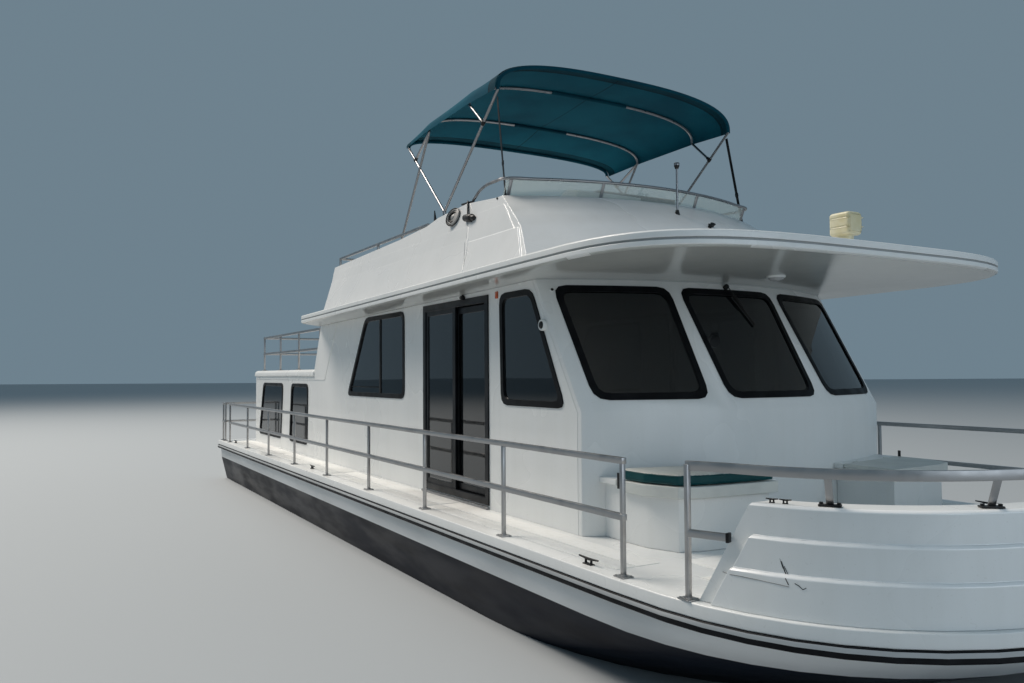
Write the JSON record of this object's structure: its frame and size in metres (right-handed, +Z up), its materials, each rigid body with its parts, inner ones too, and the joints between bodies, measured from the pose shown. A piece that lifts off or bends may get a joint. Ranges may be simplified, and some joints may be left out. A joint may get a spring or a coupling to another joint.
{
  "type": "houseboat with flybridge",
  "caption": "Decked houseboat afloat: long cabin with side doors, low aft cabin, flybridge with sun top, railed side decks and a bow cockpit.",
  "frame": {"origin": "on the water surface, on the centreline, amidships", "axes": "+X forward to the bow, +Y to port, +Z up"},
  "size_m": [14.082, 4.292, 5.7203],
  "materials": {
    "gelcoat": "white fibreglass gelcoat, slightly chalked, with an off-white non-slip tread on the decks",
    "hull_paint": "white topside band over a near-black boot top and bottom paint",
    "rubber": "black extruded fender strip",
    "aluminium": "satin anodised tube, lightly weathered",
    "bronze": "dull underwater bronze",
    "tinted_glass": "dark tinted safety glass in black rounded rims",
    "acrylic": "clear acrylic, faintly hazed",
    "frame_black": "black powder coated door frame",
    "canvas": "teal woven acrylic canvas",
    "vinyl": "light grey marine vinyl with a teal side band",
    "woodwork": "satin varnished joinery",
    "aged_plastic": "sun-yellowed moulded housing"
  },
  "bodies": {
    "boat": {"hull": "hull_paint", "rub_rail": "rubber", "deck": "gelcoat", "bow_bulwark": "gelcoat", "cabin_front": "gelcoat", "cabin_side_starboard": "gelcoat", "cabin_side_port": "gelcoat", "main_bulkhead": "gelcoat", "aft_end_wall": "gelcoat", "aft_cabin_roof": "gelcoat", "cabin_interior": "woodwork", "window_front_centre": "tinted_glass", "window_front_starboard": "tinted_glass", "window_front_port": "tinted_glass", "window_fore_starboard": "tinted_glass", "window_fore_port": "tinted_glass", "window_mid_starboard": "tinted_glass", "window_mid_port": "tinted_glass", "window_aft_cabin_fore_starboard": "tinted_glass", "window_aft_cabin_fore_port": "tinted_glass", "window_aft_cabin_aft_starboard": "tinted_glass", "window_aft_cabin_aft_port": "tinted_glass", "door_frame_starboard": "frame_black", "door_frame_port": "frame_black", "roof": "gelcoat", "flybridge_coaming": "gelcoat", "helm_console": "gelcoat", "helm_seat": "vinyl", "windshield": "acrylic", "flybridge_rail": "aluminium", "bimini_frame": "aluminium", "bimini_canopy": "canvas", "side_rail_starboard": "aluminium", "side_rail_port": "aluminium", "stern_rail_starboard": "aluminium", "stern_rail_port": "aluminium", "bow_rail": "aluminium", "sundeck_rail_starboard": "aluminium", "sundeck_rail_port": "aluminium", "boarding_ladder": "aluminium", "flybridge_steps": "gelcoat", "bow_locker_starboard": "gelcoat", "bow_locker_port": "gelcoat", "searchlight_base": "aged_plastic", "light_mast": "aluminium", "shaft_strut_starboard": "bronze", "shaft_strut_port": "bronze", "swim_platform": "gelcoat"},
    "starboard_door": {"door_panel_starboard": "tinted_glass"},
    "port_door": {"door_panel_port": "tinted_glass"},
    "aft_door_leaf": {"aft_door": "gelcoat"},
    "starboard_lid": {"locker_lid_starboard": "gelcoat", "locker_cushion": "vinyl"},
    "port_lid": {"locker_lid_port": "gelcoat"},
    "searchlight": {"searchlight_head": "aged_plastic"},
    "steering_wheel": {"helm_wheel": "aluminium"},
    "starboard_screw": {"propeller_starboard": "bronze"},
    "port_screw": {"propeller_port": "bronze"},
    "starboard_rudder": {"rudder_starboard": "bronze"},
    "port_rudder": {"rudder_port": "bronze"}
  },
  "joints": [
    {"name": "starboard_door_slide", "type": "slide", "parent": "boat", "child": "starboard_door", "axis": [-1, 0, 0], "range_m": [0, 0.59]},
    {"name": "port_door_slide", "type": "slide", "parent": "boat", "child": "port_door", "axis": [-1, 0, 0], "range_m": [0, 0.59]},
    {"name": "aft_door_hinge", "type": "hinge", "parent": "boat", "child": "aft_door_leaf", "pos_m": [-6.1567, 0.904, 1.23], "axis": [0, 0, 1], "range_deg": [0, 95]},
    {"name": "starboard_lid_hinge", "type": "hinge", "parent": "boat", "child": "starboard_lid", "pos_m": [4.23, -1.0575, 1.1], "axis": [-0.1779, -0.984, 0], "range_deg": [0, 80]},
    {"name": "port_lid_hinge", "type": "hinge", "parent": "boat", "child": "port_lid", "pos_m": [4.23, 1.0575, 1.1], "axis": [0.1779, -0.984, 0], "range_deg": [0, 80]},
    {"name": "searchlight_pan", "type": "hinge", "parent": "boat", "child": "searchlight", "pos_m": [4.86, 0, 2.73], "axis": [0, 0, 1], "range_deg": [-170, 170]},
    {"name": "wheel_turn", "type": "hinge", "parent": "boat", "child": "steering_wheel", "pos_m": [2.035, -0.42, 3.31], "axis": [-0.8412, 0, 0.5408], "range_deg": [-540, 540]},
    {"name": "starboard_rudder_turn", "type": "hinge", "parent": "boat", "child": "starboard_rudder", "pos_m": [-5.9, -0.75, -0.5], "axis": [0, 0, 1], "range_deg": [-35, 35]},
    {"name": "port_rudder_turn", "type": "hinge", "parent": "boat", "child": "port_rudder", "pos_m": [-5.9, 0.75, -0.5], "axis": [0, 0, 1], "range_deg": [-35, 35]},
    {"name": "starboard_propeller_turn", "type": "hinge", "parent": "boat", "child": "starboard_screw", "pos_m": [-5.35, -0.75, -0.72], "axis": [0.9874, 0, 0.158], "continuous": true},
    {"name": "port_propeller_turn", "type": "hinge", "parent": "boat", "child": "port_screw", "pos_m": [-5.35, 0.75, -0.72], "axis": [0.9874, 0, 0.158], "continuous": true}
  ],
  "couplings": [
    {"joint": "starboard_rudder_turn", "follows": "wheel_turn", "ratio": -0.064815},
    {"joint": "port_rudder_turn", "follows": "wheel_turn", "ratio": -0.064815}
  ]
}
